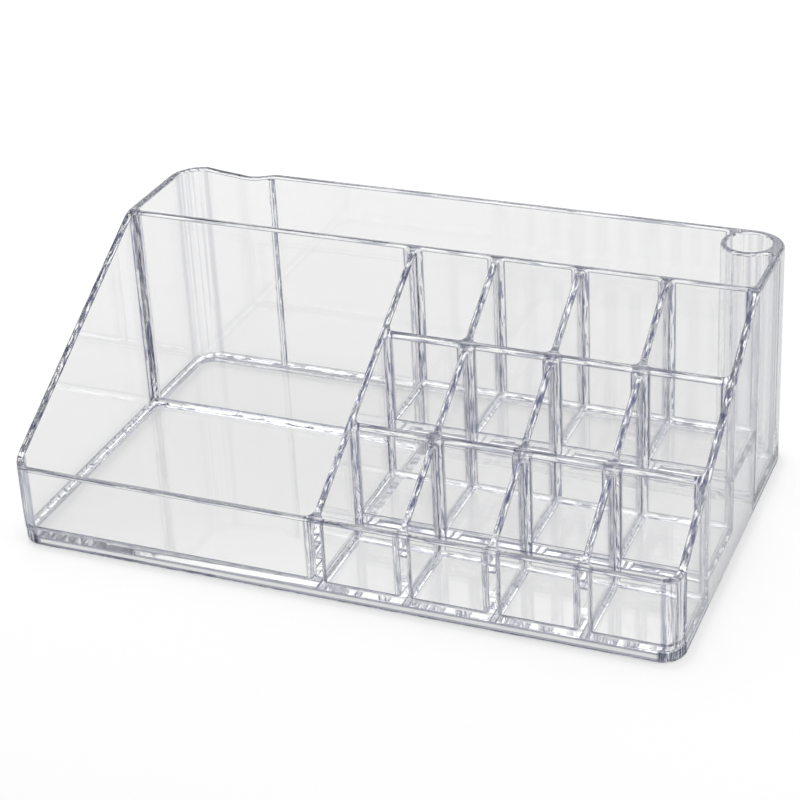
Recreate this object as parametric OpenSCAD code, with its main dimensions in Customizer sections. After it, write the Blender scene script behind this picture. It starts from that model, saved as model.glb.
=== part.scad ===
// Clear vanity organizer: an open tray, a rear trough with a brush tube,
// and twelve lipstick cells in three stepped rows.
// Millimetres. X runs left to right, Y front to back, Z up.
// The origin is the middle of the footprint, on the surface the organizer stands on.

/* [Overall] */
// Overall width, left to right
overall_w = 234; // [215:1:270]
// Overall depth, front to back
overall_d = 141; // [130:1:165]
// Height of the back wall and of the long partition
overall_h = 84; // [76:1:110]
// Height of the low front rim
front_rim_h = 30; // [24:1:40]

/* [Walls] */
// Thickness of the four outer walls
wall_t = 2.6; // [2:0.1:3.2]
// Thickness of the long partition, the dividers and the row walls
divider_t = 2.4; // [1.8:0.1:3]
// Outer radius of the two front corners
front_corner_r = 7; // [4:0.5:9]

/* [Base] */
// Thickness of every floor
floor_t = 2.4; // [1.8:0.1:3]
// Clearance under the lowest floors, which is how deep the foot rim stands
foot_h = 2.4; // [1.5:0.1:4]
// Width of the foot rim that the organizer stands on
foot_w = 3.2; // [2.8:0.1:4.5]
// Outer radius of the foot rim's corners
foot_corner_r = 8; // [5:0.5:9]

/* [Compartments] */
// Inside depth of the rear trough, front to back
trough_d = 41; // [36:1:48]
// Inside width of one lipstick cell
cell_w = 27.6; // [24:0.2:31]
// Height of the middle row's floor above the front row's floor
first_step_h = 7.4; // [5:0.2:12]
// Height of the rear row's floor above the middle row's floor
second_step_h = 19; // [10:0.2:22]

/* [Brush tube] */
// Bore of the brush tube
tube_bore_d = 15.6; // [11:0.2:18]
// Wall of the brush tube
tube_t = 2; // [1.5:0.1:2.6]
// Skin of back wall that is left behind the tube, which is let into that wall
tube_skin_t = 0.6; // [0.4:0.1:1.2]

/* [Back wall] */
// Distance from the left outer face to the middle of the rib
rib_from_left = 38; // [32:1:60]
// Width of the rib
rib_w = 2.6; // [2:0.1:5]
// How far the rib stands out of the back wall's inner face
rib_d = 1.2; // [0.8:0.1:2]
// Depth of the shallow dip in the rim, between the rib and the left corner
dip_d = 1.8; // [0.6:0.1:3]

/* [Hidden] */
$fn = 96;

columns = 4;
rows = 3;
overrun = 1;

// Outer faces and inner faces of the outer walls
left_x = -overall_w / 2;
right_x = overall_w / 2;
front_y = -overall_d / 2;
back_y = overall_d / 2;
left_in_x = left_x + wall_t;
right_in_x = right_x - wall_t;
front_in_y = front_y + wall_t;
back_in_y = back_y - wall_t;

// The rear corners wrap the brush tube, so their radius comes from it
tube_r = tube_bore_d / 2 + tube_t;
rear_corner_r = tube_r + wall_t;
tube_x = right_in_x - tube_r;
tube_y = back_y - tube_skin_t - tube_r;

// The dip is an arc over the straight rim between the left corner and the rib
dip_w = rib_from_left - rib_w / 2 - rear_corner_r;
dip_x = left_x + rear_corner_r + dip_w / 2;
dip_r = (dip_w * dip_w / 4 + dip_d * dip_d) / (2 * dip_d);

// Heights of the floors' upper faces
base_floor_z = foot_h + floor_t;
middle_floor_z = base_floor_z + first_step_h;
rear_floor_z = middle_floor_z + second_step_h;

// The long partition, front and rear face
partition_rear_y = back_in_y - trough_d;
partition_front_y = partition_rear_y - divider_t;

// Three rows share the depth between the front wall and the long partition
cell_d = (partition_front_y - front_in_y - (rows - 1) * divider_t) / rows;
upper_row_wall_y = partition_front_y - cell_d - divider_t;
lower_row_wall_y = upper_row_wall_y - cell_d - divider_t;

// Dividers count from the tray divider, which is number 0, towards the right wall
column_pitch = cell_w + divider_t;
function divider_x(i) = right_in_x - (columns - i) * column_pitch;
tray_divider_x = divider_x(0);
cells_x = tray_divider_x + divider_t;

// Side profile of everything above the base: full height at the back,
// a straight slope from the long partition down to the front rim
module under_rim() {
  translate([left_x - overrun, 0, 0]) rotate([90, 0, 90])
    linear_extrude(overall_w + 2 * overrun)
      polygon([
        [front_y - overrun, -overrun],
        [back_y + overrun, -overrun],
        [back_y + overrun, overall_h],
        [partition_front_y, overall_h],
        [front_in_y, front_rim_h],
        [front_y - overrun, front_rim_h]
      ]);
}

// Upright plate with its corner at [x, y], from height z up to the rim
module plate(x, y, z, w, d) {
  intersection() {
    translate([x, y, z]) cube([w, d, overall_h - z]);
    under_rim();
  }
}

// Flat floor with its upper face at top_z
module slab(x0, x1, y0, y1, top_z) {
  translate([x0, y0, top_z - floor_t]) cube([x1 - x0, y1 - y0, floor_t]);
}

// Footprint with its four corners rounded
module rounded_plan(w, d, r) {
  square([w - 2 * r, d], center = true);
  square([w, d - 2 * r], center = true);
  for (sx = [-1, 1], sy = [-1, 1])
    translate([sx * (w / 2 - r), sy * (d / 2 - r)]) circle(r);
}

module foot_outline(h) {
  linear_extrude(h) rounded_plan(overall_w, overall_d, foot_corner_r);
}

module foot_inner_outline() {
  translate([0, 0, -overrun]) linear_extrude(base_floor_z + 2 * overrun)
    rounded_plan(overall_w - 2 * foot_w, overall_d - 2 * foot_w, foot_corner_r - foot_w);
}

// The brush tube's outside, from the base floor to above the rim
module tube_body(h) {
  translate([tube_x, tube_y, base_floor_z]) cylinder(h = h, r = tube_r);
}

// A quarter ring of wall at a corner, centred at [x, y], starting at angle a
module corner_wall(x, y, outer_r, a) {
  translate([x, y, base_floor_z]) rotate([0, 0, a]) rotate_extrude(angle = 90)
    translate([outer_r - wall_t, 0]) square([wall_t, overall_h - base_floor_z]);
}

// The base: the rim it stands on and the floors inside that rim
module foot_rim() {
  color("#e9edf2", 0.45) difference() {
    foot_outline(base_floor_z);
    foot_inner_outline();
  }
}

module tray_floor() {
  color("#f2f4f6", 0.35) intersection() {
    slab(left_x, cells_x, front_y, partition_front_y, base_floor_z);
    foot_inner_outline();
  }
}

module trough_floor() {
  color("#f2f4f6", 0.35) intersection() {
    slab(left_x, right_x, partition_front_y, back_y, base_floor_z);
    foot_inner_outline();
  }
}

module front_row_floor() {
  color("#f2f4f6", 0.35) intersection() {
    slab(cells_x, right_x, front_y, lower_row_wall_y + divider_t, base_floor_z);
    foot_inner_outline();
  }
}

module middle_row_floor() {
  color("#f2f4f6", 0.35)
    slab(cells_x, right_in_x, lower_row_wall_y + divider_t, upper_row_wall_y + divider_t, middle_floor_z);
}

module rear_row_floor() {
  color("#f2f4f6", 0.35)
    slab(cells_x, right_in_x, upper_row_wall_y + divider_t, partition_front_y, rear_floor_z);
}

// The outer walls: the front and back walls carry the rounded corners
module front_wall() {
  color("#eef1f5", 0.35) intersection() {
    union() {
      translate([left_x + front_corner_r, front_y, base_floor_z])
        cube([overall_w - 2 * front_corner_r, wall_t, overall_h - base_floor_z]);
      corner_wall(left_x + front_corner_r, front_y + front_corner_r, front_corner_r, 180);
      corner_wall(right_x - front_corner_r, front_y + front_corner_r, front_corner_r, 270);
    }
    under_rim();
  }
}

module side_wall(x) {
  color("#eef1f5", 0.35)
    plate(x, front_y + front_corner_r, base_floor_z, wall_t,
          overall_d - front_corner_r - rear_corner_r);
}

module left_wall() { side_wall(left_x); }
module right_wall() { side_wall(right_in_x); }

// The back wall has a seat for the tube and a shallow dip in its rim
module back_wall() {
  color("#eef1f5", 0.35) difference() {
    union() {
      translate([left_x + rear_corner_r, back_in_y, base_floor_z])
        cube([overall_w - 2 * rear_corner_r, wall_t, overall_h - base_floor_z]);
      corner_wall(right_x - rear_corner_r, back_y - rear_corner_r, rear_corner_r, 0);
      corner_wall(left_x + rear_corner_r, back_y - rear_corner_r, rear_corner_r, 90);
    }
    translate([0, 0, -overrun]) tube_body(overall_h + overrun);
    translate([dip_x, back_y + overrun, overall_h - dip_d + dip_r]) rotate([90, 0, 0])
      cylinder(h = wall_t + 2 * overrun, r = dip_r);
  }
}

module back_wall_rib() {
  color("#e4e8f0", 0.5)
    plate(left_x + rib_from_left - rib_w / 2, back_in_y - rib_d, base_floor_z, rib_w, rib_d);
}

// The walls inside
module long_partition() {
  color("#eef1f5", 0.35)
    plate(left_in_x, partition_front_y, base_floor_z, right_in_x - left_in_x, divider_t);
}

module tray_divider() {
  color("#eef1f5", 0.35)
    plate(tray_divider_x, front_in_y, base_floor_z, divider_t, partition_front_y - front_in_y);
}

module row_wall(y, z) {
  color("#eef1f5", 0.35) plate(cells_x, y, z, right_in_x - cells_x, divider_t);
}

module lower_row_wall() { row_wall(lower_row_wall_y, base_floor_z); }
module upper_row_wall() { row_wall(upper_row_wall_y, middle_floor_z); }

// Divider number i of one row, standing on that row's floor
module cell_divider(i, y, floor_z) {
  color("#eef1f5", 0.35) plate(divider_x(i), y, floor_z, divider_t, cell_d);
}

module front_cell_divider(i) { cell_divider(i, front_in_y, base_floor_z); }
module middle_cell_divider(i) { cell_divider(i, lower_row_wall_y + divider_t, middle_floor_z); }
module rear_cell_divider(i) { cell_divider(i, upper_row_wall_y + divider_t, rear_floor_z); }

// The tube stands in the rear right corner, let into the back wall and open at the top
module brush_tube() {
  color("#e9edf2", 0.45) difference() {
    tube_body(overall_h - base_floor_z);
    translate([tube_x, tube_y, base_floor_z - overrun])
      cylinder(h = overall_h - base_floor_z + 2 * overrun, r = tube_bore_d / 2);
  }
}

foot_rim();
tray_floor();
trough_floor();
front_row_floor();
middle_row_floor();
rear_row_floor();
front_wall();
left_wall();
right_wall();
back_wall();
back_wall_rib();
long_partition();
tray_divider();
lower_row_wall();
upper_row_wall();
front_cell_divider(1);  // front_cell_divider_1
front_cell_divider(2);  // front_cell_divider_2
front_cell_divider(3);  // front_cell_divider_3
middle_cell_divider(1);  // middle_cell_divider_1
middle_cell_divider(2);  // middle_cell_divider_2
middle_cell_divider(3);  // middle_cell_divider_3
rear_cell_divider(1);  // rear_cell_divider_1
rear_cell_divider(2);  // rear_cell_divider_2
rear_cell_divider(3);  // rear_cell_divider_3
brush_tube();
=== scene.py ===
# %% [markdown]
# # A clear vanity organizer
#
# The real object is one injection moulding in clear plastic: an open tray, twelve
# lipstick cells on three steps, a deep trough along the back and a round brush tube in
# the rear right corner. This lesson rebuilds it on a fixed CAD frame. We first make the
# whole moulding as a single clear body, the way the mould makes it, and then divide it
# into the panels that a person would name.

# %% Load the frame
import math

import bmesh
import bpy
from mathutils import Matrix, Vector


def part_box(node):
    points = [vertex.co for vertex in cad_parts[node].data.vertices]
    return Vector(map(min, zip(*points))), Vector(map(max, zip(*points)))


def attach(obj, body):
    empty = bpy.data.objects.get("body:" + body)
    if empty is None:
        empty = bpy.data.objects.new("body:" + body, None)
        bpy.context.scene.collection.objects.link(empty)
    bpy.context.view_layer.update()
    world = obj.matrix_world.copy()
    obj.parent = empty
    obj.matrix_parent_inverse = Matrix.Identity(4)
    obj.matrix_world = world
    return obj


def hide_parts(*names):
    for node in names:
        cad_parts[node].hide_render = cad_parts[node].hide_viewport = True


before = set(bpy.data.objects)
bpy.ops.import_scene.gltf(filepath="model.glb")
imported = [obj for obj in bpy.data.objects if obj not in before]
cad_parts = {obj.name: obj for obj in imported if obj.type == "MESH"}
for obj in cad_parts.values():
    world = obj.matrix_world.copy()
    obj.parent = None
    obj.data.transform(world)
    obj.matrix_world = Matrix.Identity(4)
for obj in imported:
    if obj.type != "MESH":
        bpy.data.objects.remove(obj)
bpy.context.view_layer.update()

print("nodes in the frame:", len(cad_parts))

# %% [markdown]
# ## Sizes
#
# Every place is read from the CAD frame, so the looks cannot drift away from the
# construction. We work in millimetres, because that is how a moulding is drawn, and
# turn them into metres once, when a mesh is made.

# %% Read the sizes from the frame
MM = 0.001


def span(node, axis):
    """Lowest and highest place of a CAD node along one axis, in millimetres."""
    low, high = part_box(node)
    return low[axis] / MM, high[axis] / MM


left, right = span("foot_rim", 0)
front, back = span("foot_rim", 1)
left_in = span("left_wall", 0)[1]
right_in = span("right_wall", 0)[0]
wall = left_in - left
front_in = front + wall
back_in = back - wall
top = span("back_wall", 2)[1]
partition = span("long_partition", 1)
upper_wall = span("upper_row_wall", 1)
lower_wall = span("lower_row_wall", 1)
rise = (top - span("lower_row_wall", 2)[1]) / (partition[0] - lower_wall[1])
low_rim = top - rise * (partition[0] - front_in)
tray_divider = span("tray_divider", 0)
dividers = [span(f"front_cell_divider_{i}", 0) for i in (1, 2, 3)]
base_under, base_floor = span("tray_floor", 2)
middle_under, middle_floor = span("middle_row_floor", 2)
rear_under, rear_floor = span("rear_row_floor", 2)
rib_x = span("back_wall_rib", 0)
rib_front = span("back_wall_rib", 1)[0]
tube_x = sum(span("brush_tube", 0)) / 2
tube_y = sum(span("brush_tube", 1)) / 2
tube_r = (span("brush_tube", 0)[1] - span("brush_tube", 0)[0]) / 2
print(f"overall {right - left:.0f} x {back - front:.0f} x {top:.0f} mm, walls {wall:.1f} mm, "
      f"low rim {low_rim:.1f} mm")

# %% [markdown]
# Only the roundings, which the construction mostly leaves out, get numbers here. A
# moulder rounds every inside corner, so that the plastic flows, and every rim, so that
# it is kind to fingers.

# %% Roundings and small sizes
rim_r = 1.1
floor_r = 1.8
inside_r = 2.1
wide_floor_r = 2.3
wide_r = 3.2
rim_bend = 2.0
tube_wall = 2.0
bore_r = tube_r - tube_wall
front_corner_r = 7.0
rear_corner_r = tube_r + wall
foot_width = 3.2
foot_corner_r = 8.0
foot_edge_r = 1.0
print(f"rims {rim_r} mm, cell floors {floor_r} mm, rear corners {rear_corner_r:.1f} mm")


def rim_height(y):
    """Height of the rim: low at the front, a straight slope, then flat from the partition back."""
    if y <= front_in:
        return low_rim
    into_bend = y - (partition[0] - rim_bend)
    if into_bend <= 0:
        return low_rim + rise * (y - front_in)
    if into_bend >= 2 * rim_bend:
        return top
    share = into_bend / (2 * rim_bend)
    start = top - rise * rim_bend
    return start + rise * 2 * rim_bend * (share - share * share / 2)


# %% [markdown]
# ## Outlines and lofts
#
# A mould cavity is a stack of outlines: the same plan, a little smaller near the floor
# where the fillet is, a little wider at the rim where the edge is rounded. So each shape
# here is a plan made of corner arcs, and a loft through copies of it at several heights.
# Growing an outline is exact, because only the radii of its arcs change.

# %% Outlines
def corner(x, y, radius, start, end, steps=6, grows=1):
    """One arc of an outline, by its centre. grows is -1 where the arc bulges inwards."""
    return {"x": x, "y": y, "r": radius, "start": start, "end": end, "steps": steps, "grows": grows}


def outline_points(outline, grow=0.0):
    """The points of an outline made larger by grow millimetres, anticlockwise."""
    smallest_r = 0.03
    points = []
    for arc in outline:
        radius = max(arc["r"] + arc["grows"] * grow, smallest_r)
        for step in range(arc["steps"] + 1):
            angle = math.radians(arc["start"] + (arc["end"] - arc["start"]) * step / arc["steps"])
            points.append((arc["x"] + radius * math.cos(angle), arc["y"] + radius * math.sin(angle)))
    return points


def rounded_box(x, y, radii, steps=6):
    """A rectangle with rounded corners: radii are front right, rear right, rear left, front left."""
    a, b, c, d = radii
    return [
        corner(x[1] - a, y[0] + a, a, -90, 0, steps),
        corner(x[1] - b, y[1] - b, b, 0, 90, steps),
        corner(x[0] + c, y[1] - c, c, 90, 180, steps),
        corner(x[0] + d, y[0] + d, d, 180, 270, steps),
    ]


def quarter(steps):
    """Pairs (sine, cosine) from 0 to 90 degrees."""
    turns = [math.pi / 2 * i / steps for i in range(steps + 1)]
    return [(math.sin(t), math.cos(t)) for t in turns]


sample = rounded_box((0, 10), (0, 10), [1] * 4)
print("a rounded square has", len(outline_points(sample)), "points")

# %% [markdown]
# A loft joins each ring of points to the next with four-sided faces. All rings have the
# same count of points, so the faces run in tidy rows and the roundings shade evenly.

# %% Lofts
def loft(rings, cap_ends=True):
    """A closed skin through rings of points, in millimetres, all with the same count."""
    shape = bmesh.new()
    rows = [[shape.verts.new(Vector(p) * MM) for p in ring] for ring in rings]
    count = len(rings[0])
    for low, high in zip(rows, rows[1:]):
        for i in range(count):
            j = (i + 1) % count
            shape.faces.new((low[i], low[j], high[j], high[i]))
    if cap_ends:
        shape.faces.new(list(reversed(rows[0])))
        shape.faces.new(rows[-1])
    return shape, rows


def to_object(shape, name, material=None):
    """Turns a bmesh into an object of the scene."""
    bmesh.ops.recalc_face_normals(shape, faces=shape.faces)
    mesh = bpy.data.meshes.new(name)
    shape.to_mesh(mesh)
    shape.free()
    if material:
        mesh.materials.append(material)
    made = bpy.data.objects.new(name, mesh)
    bpy.context.scene.collection.objects.link(made)
    return made


# %% [markdown]
# ## Colours and nodes
#
# Colours are written as the hex values that a paint chart gives. Nodes want linear
# light, so one function turns them. A second one adds a node with its settings and
# links in a single step.

# %% Colour and node functions
def hex_colour(text):
    """An sRGB hex colour as the linear colour that the nodes expect."""
    parts = [int(text[i:i + 2], 16) / 255 for i in (1, 3, 5)]
    linear = [p / 12.92 if p <= 0.04045 else ((p + 0.055) / 1.055) ** 2.4 for p in parts]
    return (*linear, 1.0)


def add_node(tree, kind, inputs=None, **settings):
    """Adds a node. inputs gives each named or numbered socket a value, or a socket to link from."""
    made = tree.nodes.new(kind)
    for name, value in settings.items():
        setattr(made, name, value)
    for name, value in (inputs or {}).items():
        if isinstance(value, bpy.types.NodeSocket):
            tree.links.new(value, made.inputs[name])
        else:
            made.inputs[name].default_value = value
    return made


def new_material(name):
    """A material with an empty node tree and its output node."""
    material = bpy.data.materials.new(name)
    material.use_nodes = True
    material.node_tree.nodes.clear()
    output = material.node_tree.nodes.new("ShaderNodeOutputMaterial")
    return material, material.node_tree, output


print("middle grey as linear light:", [round(part, 3) for part in hex_colour("#808080")])

# %% [markdown]
# ## Clear moulded polystyrene
#
# Clear polystyrene bends light strongly (index 1.59), a little more than window glass,
# so its edges and fillets gather dark and bright lines while the flat panels almost
# vanish. It is very slightly blue, because makers add a touch of blue to hide the yellow
# of the raw resin.
#
# Plain glass nodes give most of that. The edges get more, painted into the colour of the
# glass: a dark line where a rounding begins and short bluish dark flecks. Both are painted
# shade that stands in for the dark parts of the room which a curved edge bends into view.
# Between them sit small bright spots. All of these belong to edges alone, so the first
# helper finds out where the surface turns. A panel faces straight along one axis, so the
# largest part of its direction is one. On a fillet or a rim it is less.

# %% Where the surface turns
# curved starts 3 degrees off an axis and is full at 14 degrees; a post leans less than 9 degrees
curve_from = 0.999
curve_full = 0.97
post_lean = 0.15


def find_edges(tree, surface):
    """Three nodes: how straight the surface looks along an axis, its curved places, its posts."""
    facing = add_node(tree, "ShaderNodeSeparateXYZ", {0: surface.outputs["Normal"]})
    sizes = [add_node(tree, "ShaderNodeMath", {0: facing.outputs[axis]}, operation="ABSOLUTE")
             for axis in (0, 1, 2)]
    widest = sizes[0]
    for size in sizes[1:]:
        widest = add_node(tree, "ShaderNodeMath", {0: widest.outputs[0], 1: size.outputs[0]},
                          operation="MAXIMUM")
    curved = add_node(tree, "ShaderNodeMapRange",
                      {"Value": widest.outputs[0], "From Min": curve_from, "From Max": curve_full})
    upright = add_node(tree, "ShaderNodeMath", {0: sizes[2].outputs[0], 1: post_lean},
                       operation="LESS_THAN")
    return widest, curved, upright


print(f"curved places begin {math.degrees(math.acos(curve_from)):.1f} degrees off an axis")


# %% [markdown]
# The flecks come from a noise that is drawn out along the edge. The same noise gives them
# their small bumps and places their painted shade and the bright spots between them. A
# Mapping node of the kind TEXTURE turns the place first and stretches it after, so the
# flecks on a sloping rim follow the slope.

# %% Flecks along the edges: bumps and painted shade
slope_angle = math.atan(rise)
rim_stretch = {"across": (4, 1, 1), "level": (20, 1, 1), "slope": (1, 6, 1)}


def tool_marks(tree, place, upright, finish):
    """Noise drawn out up and down on a post, and along the rim elsewhere."""
    turn = slope_angle if finish["edge_run"] == "slope" else 0.0
    along_rim = add_node(tree, "ShaderNodeMapping",
                         {"Vector": place.outputs["Object"], "Rotation": (turn, 0, 0),
                          "Scale": rim_stretch[finish["edge_run"]]}, vector_type="TEXTURE")
    along_post = add_node(tree, "ShaderNodeMapping",
                          {"Vector": place.outputs["Object"], "Scale": (1, 1, finish["post_squeeze"])})
    run = add_node(tree, "ShaderNodeMix",
                   {0: upright.outputs[0], 4: along_rim.outputs[0], 5: along_post.outputs[0]},
                   data_type="VECTOR")
    # the same noise gives the flecks their bumps and places their painted shade
    return add_node(tree, "ShaderNodeTexNoise",
                    {"Vector": run.outputs[1], "Scale": 1 / (finish["mark_mm"] * MM), "Detail": 1.0,
                     "Distortion": 0.6})


print(f"the sloping rims rise {math.degrees(slope_angle):.1f} degrees")

# %% [markdown]
# The polished mould leaves the panels smooth, but the plastic cools unevenly, so they
# wave by a hundredth of a millimetre over a few centimetres. The marks are much deeper
# and stay on the edges.

# %% Unevenness of the surface
wave_mm = 26
wave_depth_mm = 0.010


def moulded_surface(tree, place, curved, marks, finish):
    """A bump node with the slow wave of a cooled panel and the marks of the tool."""
    flow = add_node(tree, "ShaderNodeTexNoise",
                    {"Vector": place.outputs["Object"], "Scale": 1 / (wave_mm * MM), "Detail": 2.0,
                     "Roughness": 0.4})
    mark_height = add_node(tree, "ShaderNodeMath",
                           {0: marks.outputs["Fac"], 1: curved.outputs[0]}, operation="MULTIPLY")
    wave = add_node(tree, "ShaderNodeBump",
                    {"Height": flow.outputs["Fac"], "Distance": wave_depth_mm * MM, "Strength": 1.0})
    return add_node(tree, "ShaderNodeBump",
                    {"Height": mark_height.outputs[0], "Distance": finish["mark_depth_mm"] * MM,
                     "Strength": 1.0, "Normal": wave.outputs["Normal"]})


# %% [markdown]
# Three colours of painted shade are laid over the plastic, one after another: grey where a
# curved face is seen from the side, a dark line at the two ends of each rounding, and dark
# flecks between them. They stand in for the dark parts of the room that the curved edges
# bend into view. Both faces of a wall are seen through each other, so the far side gets a
# smaller share.

# %% Painted shade on the edges
# pairs of how straight the surface looks and how strong the painted line of shade is there
line_stops = [(0.0, 0.0), (0.945, 0.0), (0.968, 1.0), (0.993, 1.0), (0.9992, 0.0)]
# width of the soft border of a painted fleck or a bright spot, as a share of the noise
mark_border = 0.06


def edge_colour(tree, surface, outside, glancing, widest, curved, marks, finish):
    """The tint of the glass, with painted shade: glancing grey, then dark lines, then dark flecks."""
    # painted shade: a curved face seen from the side turns grey
    deep = add_node(tree, "ShaderNodeMath",
                    {0: glancing.outputs[0], 1: outside.outputs[0]}, operation="MULTIPLY")
    tint = add_node(tree, "ShaderNodeMix",
                    {"Factor": deep.outputs[0], 6: hex_colour(finish["plain_tint"]),
                     7: hex_colour(finish["glancing_tint"])}, data_type="RGBA")
    # painted shade: a dark line at both ends of each rounding
    lines = add_node(tree, "ShaderNodeValToRGB", {0: widest.outputs[0]})
    for _ in line_stops[2:]:
        lines.color_ramp.elements.new(0.5)
    for stop, (position, share) in zip(lines.color_ramp.elements, line_stops):
        stop.position = position
        stop.color = (share, share, share, 1)
    # painted shade: dark flecks on the curved faces
    spots = add_node(tree, "ShaderNodeMapRange",
                     {"Value": marks.outputs["Fac"], "From Min": finish["mark_from"],
                      "From Max": finish["mark_from"] + mark_border})
    spots = add_node(tree, "ShaderNodeMath", {0: spots.outputs[0], 1: curved.outputs[0]},
                     operation="MULTIPLY")
    side = add_node(tree, "ShaderNodeMapRange",
                    {"Value": surface.outputs["Backfacing"], "To Min": finish["near_share"],
                     "To Max": finish["far_share"]})
    for layer, layer_tint in ((lines, "line_tint"), (spots, "mark_tint")):
        share = add_node(tree, "ShaderNodeMath", {0: layer.outputs[0], 1: side.outputs[0]},
                         operation="MULTIPLY")
        tint = add_node(tree, "ShaderNodeMix",
                        {"Factor": share.outputs[0], 6: tint.outputs[2],
                         7: hex_colour(finish[layer_tint])}, data_type="RGBA")
    return tint


# %% [markdown]
# Light that is trapped in the edge comes straight back out in spots between the painted flecks.
# Tracing it would take a very long time, so a soft mirror stands in for it there, on the
# outer side of the curved faces alone.

# %% Bright spots
def bright_spots(tree, outside, curved, marks, finish):
    """How much mirror is mixed into the glass."""
    glints = add_node(tree, "ShaderNodeMapRange",
                      {"Value": marks.outputs["Fac"], "From Min": finish["glint_from"],
                       "From Max": finish["glint_from"] - mark_border, "To Max": finish["glint_share"]})
    glint_place = add_node(tree, "ShaderNodeMath", {0: curved.outputs[0], 1: outside.outputs[0]},
                           operation="MULTIPLY")
    return add_node(tree, "ShaderNodeMath", {0: glints.outputs[0], 1: glint_place.outputs[0]},
                    operation="MULTIPLY")


# %% [markdown]
# Now the whole material. Light from a lamp reaches the table through the plastic, and
# Cycles would need very many samples to find those bent paths. So for shadow and diffuse
# rays the plastic only tints the light and lets it pass: that is the soft shadow under
# the organizer.

# %% The clear plastic
usual_finish = {
    # the way the rim runs: across, level or slope
    "edge_run": "across",
    # the plastic itself, and the painted shade of a curved face seen nearly from the side
    "plain_tint": "#FEFEFE",
    "glancing_tint": "#BEC1CA",
    # the painted dark line of shade where a rounding begins, and the painted dark flecks
    "line_tint": "#AFB2BB",
    "mark_tint": "#A8ACBE",
    # size of a fleck and depth of its bump: coarser than the real ones, which are too fine to show
    "mark_mm": 0.75,
    "mark_depth_mm": 0.06,
    # more makes fewer flecks of painted shade
    "mark_from": 0.52,
    # less makes longer flecks on a post
    "post_squeeze": 0.1,
    # strength of the painted lines and flecks on the near side, and seen from inside the plastic
    "near_share": 1.0,
    "far_share": 0.6,
    # strength of the bright spots, and where they are: more makes more of them
    "glint_share": 0.38,
    "glint_from": 0.44,
    # light that the plastic lets through to the table, straight on and at a slant
    "clear_shade": "#FDFDFD",
    "slant_shade": "#E2E3E6",
}


def clear_plastic(name, **changes):
    """Clear polystyrene with painted edge shade. changes names what differs from the usual variant."""
    finish = {**usual_finish, **changes}
    material, tree, output = new_material(name)
    place = add_node(tree, "ShaderNodeTexCoord")
    surface = add_node(tree, "ShaderNodeNewGeometry")
    outside = add_node(tree, "ShaderNodeMath",
                       {0: 1.0, 1: surface.outputs["Backfacing"]}, operation="SUBTRACT")
    view = add_node(tree, "ShaderNodeLayerWeight", {"Blend": 0.5})
    glancing = add_node(tree, "ShaderNodeMapRange",
                        {"Value": view.outputs["Facing"], "From Min": 0.75, "From Max": 1.0})
    widest, curved, upright = find_edges(tree, surface)
    marks = tool_marks(tree, place, upright, finish)
    uneven = moulded_surface(tree, place, curved, marks, finish)
    # the glass colour carries the painted shade of the edges
    tint = edge_colour(tree, surface, outside, glancing, widest, curved, marks, finish)
    glass = add_node(tree, "ShaderNodeBsdfGlass",
                     {"Color": tint.outputs[2], "Roughness": 0.0, "IOR": 1.59,
                      "Normal": uneven.outputs["Normal"]})
    mirror = add_node(tree, "ShaderNodeBsdfGlossy",
                      {"Color": (1, 1, 1, 1), "Roughness": 0.1, "Normal": uneven.outputs["Normal"]})
    glints = bright_spots(tree, outside, curved, marks, finish)
    edged = add_node(tree, "ShaderNodeMixShader",
                     {0: glints.outputs[0], 1: glass.outputs[0], 2: mirror.outputs[0]})
    shade = add_node(tree, "ShaderNodeMix",
                     {"Factor": glancing.outputs[0], 6: hex_colour(finish["clear_shade"]),
                      7: hex_colour(finish["slant_shade"])}, data_type="RGBA")
    through = add_node(tree, "ShaderNodeBsdfTransparent", {"Color": shade.outputs[2]})
    ray = add_node(tree, "ShaderNodeLightPath")
    soft_ray = add_node(tree, "ShaderNodeMath",
                        {0: ray.outputs["Is Shadow Ray"], 1: ray.outputs["Is Diffuse Ray"]},
                        operation="MAXIMUM")
    look = add_node(tree, "ShaderNodeMixShader",
                    {0: soft_ray.outputs[0], 1: edged.outputs[0], 2: through.outputs[0]})
    tree.links.new(look.outputs[0], output.inputs["Surface"])
    return material


# %% [markdown]
# ## One plastic, nine variants
#
# The plastic is the same everywhere. The variants differ in their painted lines, flecks
# and side shade, in their bumps and bright spots, and at the base in the light they let
# through. The sloping rims get the busiest flecks. Each variant names only what differs
# from the usual one.

# %% Variants of rims and posts
# polished moulded polystyrene: nearly invisible panels, posts with fine painted lines of shade
shell_plastic = clear_plastic("polystyrene_clear_polished")
# the sloping rims: the busiest edge, with many violet flecks of painted shade and bright spots
slope_plastic = clear_plastic("polystyrene_clear_sloping_rim", edge_run="slope", line_tint="#AEB1BE",
                              mark_tint="#A6A8C6", mark_from=0.54, mark_depth_mm=0.05,
                              glint_share=0.42)
# the level rims: two thin painted lines of shade with a calm bright band between them
rim_plastic = clear_plastic("polystyrene_clear_level_rim", edge_run="level", line_tint="#A6A9B4",
                            mark_tint="#C6C9D4", mark_from=0.54, mark_depth_mm=0.012,
                            glint_share=0.16, glint_from=0.46)
# the front corners: smooth grey streaks of painted shade that run up and down
front_plastic = clear_plastic("polystyrene_clear_front_corner", line_tint="#E2E4EA",
                              mark_tint="#C8CBD5", mark_mm=0.9, mark_depth_mm=0.01,
                              post_squeeze=0.06)
# the wide rear corners: almost no flecks, and painted dark shade only where the curve turns away
curve_plastic = clear_plastic("polystyrene_clear_wide_curve", glancing_tint="#989BA3",
                              line_tint="#F0F0F2", mark_tint="#EEEFF2", mark_mm=1.6,
                              mark_depth_mm=0.0, post_squeeze=0.01, glint_share=0.0)
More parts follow.
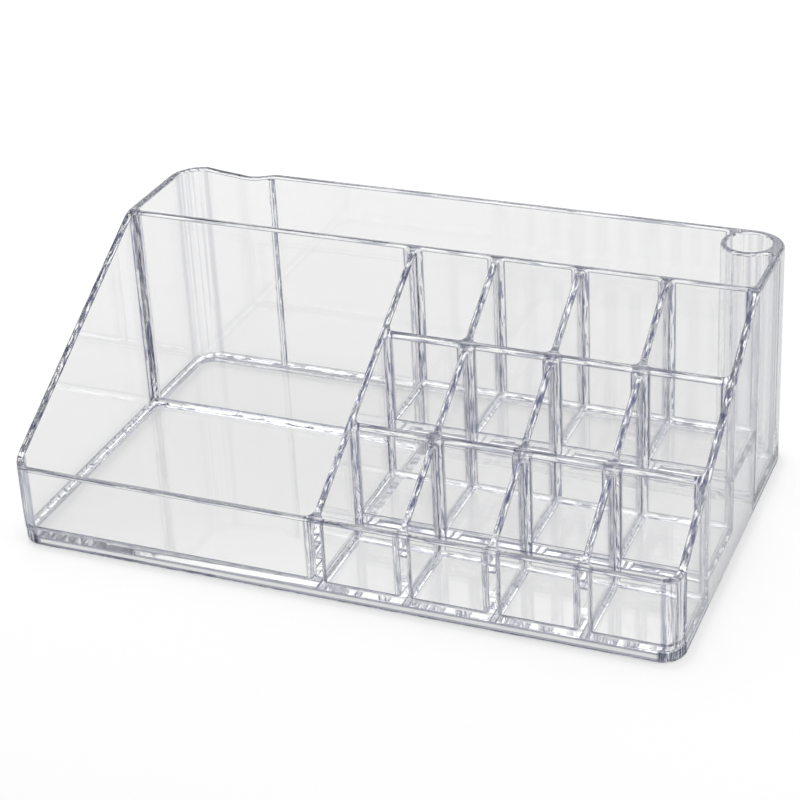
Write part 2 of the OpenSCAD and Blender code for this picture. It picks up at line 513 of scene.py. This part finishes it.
# a polished round core and sleeve: a bright tube with painted darker shade at its sides
tube_plastic = clear_plastic("polystyrene_clear_round_tube", glancing_tint="#A2A5AE",
                             line_tint="#F6F6F8", mark_tint="#EEEFF3", mark_mm=1.1, mark_from=0.60,
                             mark_depth_mm=0.0, post_squeeze=0.01, glint_share=0.3)
for finish in (shell_plastic, slope_plastic, rim_plastic, front_plastic, curve_plastic, tube_plastic):
    print(finish.name, "has", len(finish.node_tree.nodes), "nodes")

# %% [markdown]
# The base is seen through more plastic than any other part, and stands where the table
# is in its own shadow, so its painted lines of shade are darker. The faces where the
# moulding will be divided carry a material that shows nothing: the real plastic is
# unbroken there.

# %% Variants of floors and base
# the foot and the lowest edge: painted dark lines of shade along the table, and most of the soft shadow
base_plastic = clear_plastic("polystyrene_clear_base_edge", line_tint="#989CA8", mark_tint="#A4A8B6",
                             clear_shade="#CCCCCE", slant_shade="#B0B0B2")
# fillets around each floor: a painted dark line of shade outside, a bright band inside
floor_plastic = clear_plastic("polystyrene_clear_floor_fillet", line_tint="#9A9EAE",
                              mark_tint="#CDD0DA", mark_mm=1.1, mark_depth_mm=0.02, near_share=0.7,
                              far_share=0.9, glint_share=0.55, glint_from=0.62)
# edges of the hollow underneath: even grey lines of painted shade, seen through the floors
under_plastic = clear_plastic("polystyrene_clear_underside", line_tint="#B4B7C0",
                              mark_tint="#B2B5BF", mark_from=0.0, mark_depth_mm=0.0, far_share=1.0,
                              glint_share=0.0)
# no surface at all: light goes straight on
seam, seam_tree, seam_output = new_material("polystyrene_unbroken_inside")
seam_pass = add_node(seam_tree, "ShaderNodeBsdfTransparent", {"Color": (1, 1, 1, 1)})
seam_tree.links.new(seam_pass.outputs[0], seam_output.inputs["Surface"])
print("materials:", [m.name for m in bpy.data.materials])

# %% [markdown]
# ## The outside of the mould
#
# The outer skin starts with the foot rim, whose corners are a little wider than the
# walls above, runs straight up, and ends in a rounded rim that follows the slope. The
# top is closed with strips from left to right, because the rim is level in that
# direction and a strip is then flat.

# %% Outer block
# the foot's wider corners change to those of the walls over this height below and above the floor
corner_change = 0.6


def block_side(grow, front_r, rear_r, steps=10):
    """Points of the right half of the outside, from front to back, grown by a few tenths."""
    right_half = [
        corner(right - front_r, front + front_r, front_r, -90, 0, steps),
        corner(right - rear_r, back - rear_r, rear_r, 0, 90, steps),
    ]
    points = outline_points(right_half, grow)
    bends = [partition[0] + rim_bend * share for share in (-1, -0.5, 0, 0.5, 1)]
    first, rest = points[:steps + 1], points[steps + 1:]
    return first + [(right + grow, y) for y in bends] + rest


def block_ring(grow, front_r, rear_r, height):
    """A whole outline of the block, at a height that may depend on y."""
    side = block_side(grow, front_r, rear_r)
    whole = side + [(-x, y) for x, y in reversed(side)]
    return [(x, y, height(y)) for x, y in whole]


rings = []
for sine, cosine in quarter(4):
    rings.append(block_ring(-foot_edge_r * (1 - sine), foot_corner_r, rear_corner_r,
                            lambda y, c=cosine: foot_edge_r * (1 - c) if c < 1 else 0.0))
rings.append(block_ring(0, foot_corner_r, rear_corner_r, lambda y: base_floor - corner_change))
rings.append(block_ring(0, front_corner_r, rear_corner_r, lambda y: base_floor + corner_change))
for sine, cosine in quarter(6):
    rings.append(block_ring(-rim_r * (1 - cosine), front_corner_r, rear_corner_r,
                            lambda y, s=sine: rim_height(y) - rim_r * (1 - s)))
block_shape, block_rows = loft(rings, cap_ends=False)
for row in (block_rows[0], block_rows[-1]):
    half = len(row) // 2
    for i in range(half - 1):
        block_shape.faces.new((row[i], row[i + 1], row[-2 - i], row[-1 - i]))
body = to_object(block_shape, "moulding", shell_plastic)
print("outer block:", len(body.data.vertices), "vertices")

# %% [markdown]
# ## The pockets
#
# Each compartment is a core of the mould: a flat floor, a floor fillet, upright corners
# with a small radius, and a flare at the rim that leaves the rounded edge. The flare
# follows the slope of the rim. The cells are twelve such cores in three rows, each row a
# step higher than the one before.

# %% Cells and tray
# the flare ends a hair above the outer skin, so that no two faces lie in each other
clear_of_rim = 0.02
above_top = 6


def pocket(outline, floor, fillet=floor_r, edge=rim_r):
    """The solid shape of one compartment, from its floor to above the rim."""
    rings = []
    for sine, cosine in quarter(6):
        rings.append([(x, y, floor + fillet * (1 - cosine))
                      for x, y in outline_points(outline, -fillet * (1 - sine))])
    for sine, cosine in quarter(6):
        rings.append([(x, y, rim_height(y) - edge * (1 - sine) + clear_of_rim)
                      for x, y in outline_points(outline, edge * (1 - cosine))])
    rings.append([(x, y, top + above_top) for x, y in outline_points(outline, edge)])
    return loft(rings)[0]


columns = [tray_divider, *dividers, (right_in, right)]
cell_x = [(columns[i][1], columns[i + 1][0]) for i in range(4)]
row_y = [
    (front_in, lower_wall[0], base_floor),
    (lower_wall[1], upper_wall[0], middle_floor),
    (upper_wall[1], partition[0], rear_floor),
]
pockets = []
for y0, y1, floor in row_y:
    for x in cell_x:
        radii = [inside_r] * 4
        if floor == base_floor and x is cell_x[3]:
            radii[0] = front_corner_r - wall
        pockets.append(pocket(rounded_box(x, (y0, y1), radii), floor))

tray_radii = [wide_r, wide_r, wide_r, front_corner_r - wall]
pockets.append(pocket(rounded_box((left_in, tray_divider[0]), (front_in, partition[0]), tray_radii),
                      base_floor, fillet=wide_floor_r))
print("cells and tray:", len(pockets), "pockets, floors at", [round(row[2], 1) for row in row_y], "mm")

# %% [markdown]
# The trough wraps the brush tube, with a small fillet to each wall. The fillet's arc
# touches both the wall and the tube, so its centre lies one fillet away from the wall
# and a tube radius plus a fillet away from the tube's middle.

# %% Trough and bore
reach = tube_r + inside_r
side_drop = math.sqrt(reach ** 2 - (right_in - inside_r - tube_x) ** 2)
back_drop = math.sqrt(reach ** 2 - (back_in - inside_r - tube_y) ** 2)
side_turn = math.degrees(math.atan2(-side_drop, right_in - inside_r - tube_x))
back_turn = math.degrees(math.atan2(back_in - inside_r - tube_y, -back_drop))
trough = [
    corner(right_in - inside_r, partition[1] + inside_r, inside_r, -90, 0),
    corner(right_in - inside_r, tube_y - side_drop, inside_r, 0, side_turn + 180),
    corner(tube_x, tube_y, tube_r, side_turn, back_turn - 360, 40, grows=-1),
    corner(tube_x - back_drop, back_in - inside_r, inside_r, back_turn - 180, 90),
    corner(left + rear_corner_r, back - rear_corner_r, rear_corner_r - wall, 90, 180, 14),
    corner(left_in + wide_r, partition[1] + wide_r, wide_r, 180, 270),
]
pockets.append(pocket(trough, base_floor))


def circle(radius):
    """A round outline about the tube's middle, in four arcs."""
    return [corner(tube_x, tube_y, radius, i * 90, i * 90 + 84, 14) for i in range(4)]


bore_edge_r = 0.8
pockets.append(pocket(circle(bore_r), base_floor, edge=bore_edge_r))

all_pockets = bmesh.new()
for shape in pockets:
    bmesh.ops.recalc_face_normals(shape, faces=shape.faces)
    part = bpy.data.meshes.new("pocket")
    shape.to_mesh(part)
    shape.free()
    all_pockets.from_mesh(part)
    bpy.data.meshes.remove(part)
core = to_object(all_pockets, "cores", shell_plastic)
print("pockets:", len(pockets), "with", len(core.data.vertices), "vertices")

# %% [markdown]
# ## The underside
#
# The organizer stands on a narrow rim, with the floors a little higher, and the stepped
# rows are hollow underneath: a moulder keeps every wall near 2 mm so that it cools
# evenly. The hollow is a side profile drawn once and carried across.

# %% Underside cutters
recess_r = 0.6
recess_flare = 0.5
recess_outline = rounded_box((left + foot_width, right - foot_width),
                             (front + foot_width, back - foot_width), [foot_corner_r - foot_width] * 4)
rings = [[(x, y, z) for x, y in outline_points(recess_outline, recess_flare)] for z in (-1.0, 0.0)]
for sine, cosine in quarter(3)[1:]:
    rings.append([(x, y, recess_flare * sine)
                  for x, y in outline_points(recess_outline, recess_flare * (1 - sine))])
for sine, cosine in quarter(3):
    rings.append([(x, y, base_under - recess_r * (1 - sine))
                  for x, y in outline_points(recess_outline, -recess_r * (1 - cosine))])
recess = to_object(loft(rings)[0], "recess", under_plastic)

hollow_r = 0.6
hollow_end_r = 0.4
below = -2.0
hollow_y = (lower_wall[1], upper_wall[1], partition[0])
profile = [
    corner(hollow_y[0] + hollow_r, below, hollow_r, 180, 270, 2),
    corner(hollow_y[2] - hollow_r, below, hollow_r, 270, 360, 2),
    corner(hollow_y[2] - hollow_r, rear_under - hollow_r, hollow_r, 0, 90, 4),
    corner(hollow_y[1] + hollow_r, rear_under - hollow_r, hollow_r, 90, 180, 4),
    corner(hollow_y[1] - hollow_r, middle_under + hollow_r, hollow_r, 360, 270, 4, grows=-1),
    corner(hollow_y[0] + hollow_r, middle_under - hollow_r, hollow_r, 90, 180, 4),
]
rings = []
for start, way, turns in ((tray_divider[1], 1, quarter(4)), (right_in, -1, quarter(4)[::-1])):
    for sine, cosine in turns:
        rings.append([(start + way * hollow_end_r * (1 - cosine), y, z)
                      for y, z in outline_points(profile, -hollow_end_r * (1 - sine))])
hollow = to_object(loft(rings)[0], "hollow", under_plastic)
print(f"recess {base_under:.1f} mm deep, hollow up to {rear_under:.1f} mm")

# %% [markdown]
# ## Cutting
#
# One function does every cut. The cutter's faces keep their own material, which matters
# later: where we divide the moulding, the new faces are marked as unbroken inside, so no
# light bends there and the panels still look like one piece of plastic.

# %% Cut the moulding
def cut(target, cutter, how):
    """A new mesh: the target with the cutter taken away, kept only inside it, or joined to it."""
    change = target.modifiers.new("cut", "BOOLEAN")
    change.solver = "MANIFOLD"
    change.operation = how
    change.object = cutter
    change.material_mode = "TRANSFER"
    settled = target.evaluated_get(bpy.context.evaluated_depsgraph_get())
    mesh = bpy.data.meshes.new_from_object(settled)
    target.modifiers.remove(change)
    return mesh


def volume(mesh):
    """Volume of a closed mesh in cubic centimetres."""
    shape = bmesh.new()
    shape.from_mesh(mesh)
    result = shape.calc_volume() * 1e6
    shape.free()
    return result


for cutter in (core, recess, hollow):
    body.data = cut(body, cutter, "DIFFERENCE")
    print("after", cutter.name, len(body.data.polygons), "faces,", round(volume(body.data), 2), "cm3")

# %% [markdown]
# A narrow rib runs up the inside of the back wall. It is added after the cores are taken
# out, with two rounded edges towards the trough and a top that tapers in a little below
# the rim.

# %% The rib
rib_edge = 1.0
rib_sink_r = 0.2
rib_into_wall = 0.8
rib_into_floor = 0.4
rib_below_rim = 0.8
rib_top_h = 0.4
rib_top_in = 0.3
rib_outline = [
    corner(rib_x[1] - rib_edge, rib_front + rib_edge, rib_edge, -90, 0, 4),
    corner(rib_x[1] - rib_sink_r, back_in + rib_into_wall, rib_sink_r, 0, 90, 2),
    corner(rib_x[0] + rib_sink_r, back_in + rib_into_wall, rib_sink_r, 90, 180, 2),
    corner(rib_x[0] + rib_edge, rib_front + rib_edge, rib_edge, 180, 270, 4),
]
rings = [[(x, y, base_floor - rib_into_floor) for x, y in outline_points(rib_outline)]]
for sine, cosine in quarter(4):
    rings.append([(x, y, top - rib_below_rim - rib_top_h * (1 - sine))
                  for x, y in outline_points(rib_outline, -rib_top_in * (1 - cosine))])
rib = to_object(loft(rings)[0], "rib", shell_plastic)
body.data = cut(body, rib, "UNION")
print("with rib", len(body.data.polygons), "faces,", round(volume(body.data), 2), "cm3")

# %% [markdown]
# The rear rim is not straight: between the left corner and the rib it sags in a shallow
# dip. The places are steps from the middle of the rib, and a smooth curve joins the
# depths that were read there. The cutter is the rim's own rounded profile, carried along
# the wall and lowered by the depth of the dip at each place.

# %% Course of the dip
rib_middle = sum(rib_x) / 2
dip_steps = [-30.0, -28.0, -25.0, -22.0, -18.0, -14.2, -10.2, -6.3, -4.3, -0.4, 2.0, 4.0]
dip_places = [rib_middle + step for step in dip_steps]
dip_depths = [-0.12, 0.0, 0.36, 0.72, 1.12, 1.46, 1.80, 1.58, 1.16, 0.34, 0.02, -0.10]


def dip_depth_at(x):
    """Depth of the dip at one place along the wall, as a smooth curve through the places."""
    for i in range(len(dip_places) - 1):
        if dip_places[i] <= x <= dip_places[i + 1]:
            break
    x0, x1 = dip_places[i], dip_places[i + 1]
    slopes = []
    for j in (i, i + 1):
        a, b = max(j - 1, 0), min(j + 1, len(dip_places) - 1)
        slopes.append((dip_depths[b] - dip_depths[a]) / (dip_places[b] - dip_places[a]))
    t = (x - x0) / (x1 - x0)
    return (dip_depths[i] * (2 * t ** 3 - 3 * t ** 2 + 1) + dip_depths[i + 1] * (3 * t ** 2 - 2 * t ** 3)
            + slopes[0] * (x1 - x0) * (t ** 3 - 2 * t ** 2 + t) + slopes[1] * (x1 - x0) * (t ** 3 - t ** 2))


def rim_path(x):
    """Point of the outside face and the direction into the wall, by place along the rear wall."""
    straight_end = left + rear_corner_r
    if x >= straight_end:
        return (x, back), (0, -1)
    turn = (straight_end - x) / rear_corner_r
    out = (-math.sin(turn), math.cos(turn))
    centre = (straight_end, back - rear_corner_r)
    return (centre[0] + rear_corner_r * out[0], centre[1] + rear_corner_r * out[1]), (-out[0], -out[1])


print(f"the dip is {max(dip_depths)} mm deep and {dip_places[-1] - dip_places[0]:.0f} mm long")

# %% Cut the dip
rings = []
stations = 48
beside_wall = (-2.0, wall + 0.6)
for station in range(stations + 1):
    x = dip_places[0] + (dip_places[-1] - dip_places[0]) * station / stations
    (px, py), (nx, ny) = rim_path(x)
    low = top - dip_depth_at(x)
    rim_profile = [(beside_wall[0], low - rim_r)]
    rim_profile += [(rim_r * (1 - c), low - rim_r * (1 - s)) for s, c in quarter(6)]
    rim_profile += [(wall - rim_r * (1 - c), low - rim_r * (1 - s)) for s, c in reversed(quarter(6))]
    rim_profile += [(beside_wall[1], low - rim_r), (beside_wall[1], top + 3), (beside_wall[0], top + 3)]
    rings.append([(px + nx * u, py + ny * u, z) for u, z in rim_profile])
dip = to_object(loft(rings)[0], "dip", shell_plastic)
body.data = cut(body, dip, "DIFFERENCE")
print("with dip", len(body.data.polygons), "faces,", round(volume(body.data), 2), "cm3")

# %% [markdown]
# ## Dividing the moulding into its panels
#
# A fillet belongs to neither of the two walls that it joins, so each dividing plane
# crosses a plain stretch of plate just beyond the fillets. The boxes below are taken
# one after another, and what is left at the end is the right wall.

# %% Division boxes
beyond_corner = inside_r + 0.3
above_floor = floor_r + 0.3
below_floor = 0.5
# a box reaches this far into what is taken already, and this far past a thin plate
overlap = 0.4
past_plate = 1
# the places that lie outside the organizer on every side
everywhere = (-200, 200)
lowest = -5
highest = 200


def between(y0, y1):
    """The plain stretch between two walls that face each other."""
    return y0 + beyond_corner, y1 - beyond_corner


def across_wall(faces):
    """From one side of a wall to the other, with its fillets."""
    return faces[0] - beyond_corner - overlap, faces[1] + beyond_corner + overlap


def across_divider(faces):
    """From one side of a thin plate to the other, away from its fillets."""
    return faces[0] - past_plate, faces[1] + past_plate


trough_depth = between(partition[1], back_in)
tray_depth = between(front_in, partition[0])
cells_width = between(tray_divider[1], right_in)
whole_width = between(left_in, right_in)
rows = list(zip(("front", "middle", "rear"), row_y))
rib_depth = (rib_front - 6, back_in - 0.2)
divisions = [
    ("back_wall_rib", across_divider(rib_x), rib_depth, (base_floor + above_floor, highest)),
    ("brush_tube", None, None, (base_floor + above_floor, top + 2)),
    ("tray_floor", between(left_in, tray_divider[0]), tray_depth, (lowest, base_floor + above_floor)),
    ("trough_floor", whole_width, trough_depth, (lowest, base_floor + above_floor)),
]
for name, (y0, y1, floor) in rows:
    divisions.append((f"{name}_row_floor", cells_width, between(y0, y1), (lowest, floor + above_floor)))
for name, (y0, y1, floor) in rows:
    for i, x in enumerate(dividers):
        divisions.append((f"{name}_cell_divider_{i + 1}", across_divider(x), between(y0, y1),
                          (floor + above_floor - overlap, highest)))
divisions += [
    ("lower_row_wall", cells_width, across_wall(lower_wall), (lowest, highest)),
    ("upper_row_wall", cells_width, across_wall(upper_wall), (lowest, highest)),
    ("tray_divider", across_wall(tray_divider), tray_depth, (lowest, highest)),
    ("long_partition", whole_width, across_wall(partition), (lowest, highest)),
    ("foot_rim", everywhere, everywhere, (lowest, base_floor - below_floor)),
    ("front_wall", everywhere, (everywhere[0], front + front_corner_r), everywhere),
    ("back_wall", everywhere, (back - rear_corner_r, everywhere[1]), everywhere),
    ("left_wall", (everywhere[0], 0), everywhere, everywhere),
]
print("divisions:", len(divisions))

# %% [markdown]
# Each box is used twice: what lies inside becomes the piece, and what lies outside goes
# on to the next box. The brush tube is the one piece that a round cutter frees.

# %% Divide
# the round cutter clears the tube by this much, so that it takes the tube's skin along
tube_clear = 0.06


def box_cutter(x, y, z):
    """A box with the unbroken-inside material, in millimetres."""
    shape = bmesh.new()
    bmesh.ops.create_cube(shape, size=1.0)
    for vert in shape.verts:
        vert.co = Vector((x[vert.co.x > 0], y[vert.co.y > 0], z[vert.co.z > 0])) * MM
    return to_object(shape, "division", seam)


def tube_cutter(z):
    """The round division between the brush tube and the corner that carries it."""
    rings = [[(x, y, height) for x, y in outline_points(circle(tube_r + tube_clear))] for height in z]
    return to_object(loft(rings)[0], "division", seam)


pieces = {}
whole = volume(body.data)
for name, x, y, z in divisions:
    cutter = tube_cutter(z) if name == "brush_tube" else box_cutter(x, y, z)
    inside = cut(body, cutter, "INTERSECT")
    body.data = cut(body, cutter, "DIFFERENCE")
    bpy.data.objects.remove(cutter)
    piece = bpy.data.objects.new(f"{name}_clear", inside)
    bpy.context.scene.collection.objects.link(piece)
    pieces[name] = piece
body.name = "right_wall_clear"
pieces["right_wall"] = body
for helper in (core, recess, hollow, rib, dip):
    bpy.data.objects.remove(helper)
parts_sum = sum(volume(p.data) for p in pieces.values())
print(f"{len(pieces)} pieces, {parts_sum:.2f} of {whole:.2f} cm3")

# %% [markdown]
# A clear piece has to be closed: light that enters through a gap never finds its way
# out. So we count the separate shells and the open edges of each piece.

# %% Check that each piece is closed
def count_shells(mesh):
    """How many separate shells and how many open edges a mesh has."""
    shape = bmesh.new()
    shape.from_mesh(mesh)
    seen = set()
    shells = 0
    for vert in shape.verts:
        if vert in seen:
            continue
        shells += 1
        stack = [vert]
        seen.add(vert)
        while stack:
            here = stack.pop()
            for edge in here.link_edges:
                other = edge.other_vert(here)
                if other not in seen:
                    seen.add(other)
                    stack.append(other)
    open_edges = sum(1 for e in shape.edges if not e.is_manifold)
    shape.free()
    return shells, open_edges


for name, piece in pieces.items():
    shells, open_edges = count_shells(piece.data)
    print(f"{name}: {len(piece.data.polygons)} faces, {shells} shell, {open_edges} open, "
          f"{volume(piece.data):.3f} cm3")

# %% [markdown]
# ## A variant for each face
#
# The faces know where they are and which way they look, and that is enough to tell a
# floor fillet from a rim or a corner. Flat faces keep the usual variant.

# %% Choose the variant of a face
sloping = ("left_wall", "right_wall", "tray_divider")
level_rims = ("front_wall", "back_wall", "long_partition", "lower_row_wall", "upper_row_wall", "brush_tube")
# a face is flat if it looks this straight along an axis, and upright if it leans less than this
straight = 0.9998
leaning = 0.05
# how far beyond its radius a face still counts as part of the tube or of a corner
tube_slack = 0.2
corner_slack = 0.3


def is_turned(face):
    """True for a face of a fillet or rounding, False for a face that looks straight along an axis."""
    return max(abs(face.normal.x), abs(face.normal.y), abs(face.normal.z)) < straight


def is_within(x, y, middle, radius):
    """True for a place within a radius of an upright axis."""
    return math.hypot(x - middle[0], y - middle[1]) < radius


def finish_of(face, name):
    """The variant of one clear face, or None where it keeps the usual one of its piece."""
    x, y, z = face.center / MM
    if not is_turned(face):
        return None
    if z < base_floor - 0.1:
        return base_plastic
    floors = (base_floor, middle_floor, rear_floor)
    if any(level < z < level + wide_floor_r for level in floors) and face.normal.z > leaning:
        return floor_plastic
    if (name in level_rims or y > partition[0]) and face.normal.z > leaning:
        return rim_plastic
    if abs(face.normal.z) > leaning:
        return None
    if is_within(x, y, (tube_x, tube_y), tube_r + tube_slack):
        return tube_plastic
    front_middle = (right - front_corner_r, front + front_corner_r)
    rear_middle = (right - rear_corner_r, back - rear_corner_r)
    at_front = is_within(abs(x), y, front_middle, front_corner_r + corner_slack)
    if at_front and abs(x) > front_middle[0]:
        return front_plastic
    if is_within(abs(x), y, rear_middle, rear_corner_r + corner_slack):
        return curve_plastic
    return None


# %% Give each face its variant
for name, piece in pieces.items():
    finishes = piece.data.materials
    clear_faces = finishes.find(shell_plastic.name)
    if name in sloping or "cell_divider" in name:
        finishes[clear_faces] = slope_plastic
    extra = {}
    for face in piece.data.polygons:
        finish = finish_of(face, name) if face.material_index == clear_faces else None
        own = finishes[face.material_index]
        if name == "foot_rim" and own != seam and not (own == under_plastic and is_turned(face)):
            finish = base_plastic
        if finish:
            if finish.name not in extra:
                finishes.append(finish)
                extra[finish.name] = len(finishes) - 1
            face.material_index = extra[finish.name]
    print(f"{name}: {len(extra)} finishes beside {finishes[clear_faces].name}")

# %% [markdown]
# ## Smooth fillets, flat panels
#
# Light bends by the surface direction, so a fillet must shade as a smooth curve while a
# panel stays dead flat. Weighted normals give every corner the direction of the largest
# face that meets there, which is exactly that. Each piece then takes its place in the
# table of the visual model: the body that it rides on, the CAD node that it stands for
# and the kind of part that it is.

# %% Smooth the pieces and set their place in the table
for name, piece in pieces.items():
    piece.data.shade_smooth()
    piece.data.set_sharp_from_angle(angle=math.radians(35))
    weigh = piece.modifiers.new("even shading", "WEIGHTED_NORMAL")
    weigh.mode = "FACE_AREA"
    weigh.weight = 100
    weigh.keep_sharp = True
    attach(piece, "root")
    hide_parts(name)
print("pieces in the table:", len(pieces))

# %% [markdown]
# ## Floor, light and camera
#
# The photograph is a product shot on white: even light from large soft panels, a white
# table that fades into the background, and only a faint shadow at the right foot. Clear
# plastic shows what surrounds it, so the surroundings matter more than the lamps: white
# low down, darker overhead, with a few bright panels that draw the lines in the rims.
#
# The table is matt white card. The camera sees it glow to plain white, and light that
# comes through the plastic sees a weaker glow, so the panels stay a light grey.

# %% Table
def mirrored_or_bent(tree, ray):
    """One for light that a mirror or clear plastic has turned, zero for all other light."""
    return add_node(tree, "ShaderNodeMath",
                    {0: ray.outputs["Is Glossy Ray"], 1: ray.outputs["Is Transmission Ray"]},
                    operation="MAXIMUM")


# matt uncoated card: soft fibres a millimetre long, no shine at all
fibre_mm = 1.11
table_half = 4.0
floor_shape = bmesh.new()
bmesh.ops.create_grid(floor_shape, x_segments=1, y_segments=1, size=table_half)
floor_material, tree, output = new_material("white_card_table")
place = add_node(tree, "ShaderNodeTexCoord")
fibre = add_node(tree, "ShaderNodeTexNoise",
                 {"Vector": place.outputs["Object"], "Scale": 1 / (fibre_mm * MM)})
card = add_node(tree, "ShaderNodeMix",
                {"Factor": fibre.outputs["Fac"], 6: hex_colour("#EDEDED"), 7: hex_colour("#EFEFEF")},
                data_type="RGBA")
matt = add_node(tree, "ShaderNodeBsdfDiffuse", {"Color": card.outputs[2]})
from_middle = add_node(tree, "ShaderNodeVectorMath", {0: place.outputs["Object"]}, operation="LENGTH")
fade = add_node(tree, "ShaderNodeMapRange",
                {"Value": from_middle.outputs["Value"], "From Min": 0.5, "From Max": 1.4,
                 "To Min": 0.235, "To Max": 0.9})
camera_glow = add_node(tree, "ShaderNodeEmission", {"Color": (1, 1, 1, 1), "Strength": fade.outputs[0]})
bent_glow = add_node(tree, "ShaderNodeEmission", {"Color": (1, 1, 1, 1), "Strength": 0.085})
no_glow = add_node(tree, "ShaderNodeEmission", {"Color": (1, 1, 1, 1), "Strength": 0.0})
ray = add_node(tree, "ShaderNodeLightPath")
turned_ray = mirrored_or_bent(tree, ray)
glow = add_node(tree, "ShaderNodeMixShader",
                {0: turned_ray.outputs[0], 1: no_glow.outputs[0], 2: bent_glow.outputs[0]})
glow = add_node(tree, "ShaderNodeMixShader",
                {0: ray.outputs["Is Camera Ray"], 1: glow.outputs[0], 2: camera_glow.outputs[0]})
both = add_node(tree, "ShaderNodeAddShader", {0: matt.outputs[0], 1: glow.outputs[0]})
tree.links.new(both.outputs[0], output.inputs["Surface"])
table = to_object(floor_shape, "table", floor_material)
table.location.z = -0.0002
print(f"table: {2 * table_half:.0f} m square, {-table.location.z / MM:.1f} mm below the foot")

# %% [markdown]
# The studio is a world of light. Seen by the camera it is plain white. Seen by light
# that the plastic has bent it has a white lower part and, overhead, bright panels with
# dark gaps between them: those gaps are the dark lines in the rims.

# %% Studio around the table
world = bpy.data.worlds.new("studio")
bpy.context.scene.world = world
world.use_nodes = True
tree = world.node_tree
tree.nodes.clear()
output = add_node(tree, "ShaderNodeOutputWorld")
ray = add_node(tree, "ShaderNodeLightPath")
direction = add_node(tree, "ShaderNodeTexCoord")
height = add_node(tree, "ShaderNodeSeparateXYZ", {0: direction.outputs["Generated"]})
stretched = add_node(tree, "ShaderNodeVectorMath", {0: direction.outputs["Generated"], 1: (1.0, 1.0, 3.2)},
                     operation="MULTIPLY")
panels = add_node(tree, "ShaderNodeTexNoise",
                  {"Vector": stretched.outputs[0], "Scale": 3.6, "Detail": 1.0})
# these are amounts of light, not paint: 1 is plain white, and a panel is brighter than that
dark_gap = (0.05, 0.055, 0.07, 1)
bright_panel = (2.0, 2.0, 2.0, 1)
low_white = (0.85, 0.85, 0.86, 1)
bright = add_node(tree, "ShaderNodeValToRGB", {0: panels.outputs["Fac"]})
for element, position, amount in zip(bright.color_ramp.elements, (0.40, 0.43), (dark_gap, bright_panel)):
    element.position = position
    element.color = amount
overhead = add_node(tree, "ShaderNodeMapRange",
                    {"Value": height.outputs["Z"], "From Min": 0.52, "From Max": 0.58})
sky = add_node(tree, "ShaderNodeMix",
               {"Factor": overhead.outputs[0], 6: low_white, 7: bright.outputs[0]},
               data_type="RGBA")
white = add_node(tree, "ShaderNodeBackground", {"Color": (1, 1, 1, 1), "Strength": 1.0})
ambient = add_node(tree, "ShaderNodeBackground", {"Color": (1, 1, 1, 1), "Strength": 0.5})
studio = add_node(tree, "ShaderNodeBackground", {"Color": sky.outputs[2], "Strength": 1.0})
turned_ray = mirrored_or_bent(tree, ray)
light = add_node(tree, "ShaderNodeMixShader",
                 {0: turned_ray.outputs[0], 1: ambient.outputs[0], 2: studio.outputs[0]})
light = add_node(tree, "ShaderNodeMixShader",
                 {0: ray.outputs["Is Camera Ray"], 1: light.outputs[0], 2: white.outputs[0]})
tree.links.new(light.outputs[0], output.inputs["Surface"])
print("world nodes:", len(tree.nodes))

# %% [markdown]
# Three weak lamps shape the shadow. They are hidden from mirrored and bent light,
# because a lamp's sharp outline would show in every panel.

# %% Lamps
def soft_panel(name, place, width, height, watts):
    """A softbox that looks at the middle of the organizer."""
    data = bpy.data.lights.new(name, "AREA")
    data.shape = "RECTANGLE"
    data.size = width
    data.size_y = height
    data.energy = watts
    lamp = bpy.data.objects.new(name, data)
    bpy.context.scene.collection.objects.link(lamp)
    lamp.location = place
    lamp.visible_glossy = False
    lamp.visible_transmission = False
    lamp.rotation_euler = (Vector((0, 0, 0.03)) - Vector(place)).to_track_quat("-Z", "Y").to_euler()
    return lamp


lamps = [
    soft_panel("key panel", (-0.75, 0.55, 1.10), 0.9, 0.9, 5.0),
    soft_panel("small panel", (-0.45, 0.50, 1.20), 0.16, 0.16, 3.0),
    soft_panel("side strip", (0.95, -0.10, 0.75), 0.25, 0.9, 3.0),
]
print("lamps:", [(lamp.name, lamp.data.energy) for lamp in lamps])

# %% [markdown]
# The camera stands where the photographer stood. Its place, angles and lens were found
# by matching about forty corners of the organizer with the photograph.

# %% Camera
camera_data = bpy.data.cameras.new("camera")
camera = bpy.data.objects.new("camera", camera_data)
bpy.context.scene.collection.objects.link(camera)
camera_data.sensor_width = 36
camera_data.lens = 98.02
camera_data.shift_y = -0.1383
camera.location = (0.26031, -0.60411, 0.39977)
around, down, tilt = math.radians(23.3057), math.radians(25.9424), math.radians(-3.0451)
look_way = Vector((-math.sin(around) * math.cos(down), math.cos(around) * math.cos(down), -math.sin(down)))
upright_view = look_way.to_track_quat("-Z", "Y").to_matrix()
camera.rotation_euler = (upright_view @ Matrix.Rotation(tilt, 3, "Z")).to_euler()
bpy.context.scene.camera = camera
print(f"camera {camera.location.length:.2f} m from the middle of the foot, lens {camera_data.lens:.0f} mm")

# %% [markdown]
# Light passes through many walls before it reaches the white behind them. With too few
# bounces it would end inside the plastic, as black, so the limits are raised.

# %% Bounces of light
scene = bpy.context.scene
scene.view_settings.view_transform = "Standard"
scene.cycles.max_bounces = 64
scene.cycles.transmission_bounces = 64
scene.cycles.glossy_bounces = 64
scene.cycles.transparent_max_bounces = 96
scene.cycles.use_denoising = True
print("bounces:", scene.cycles.max_bounces)
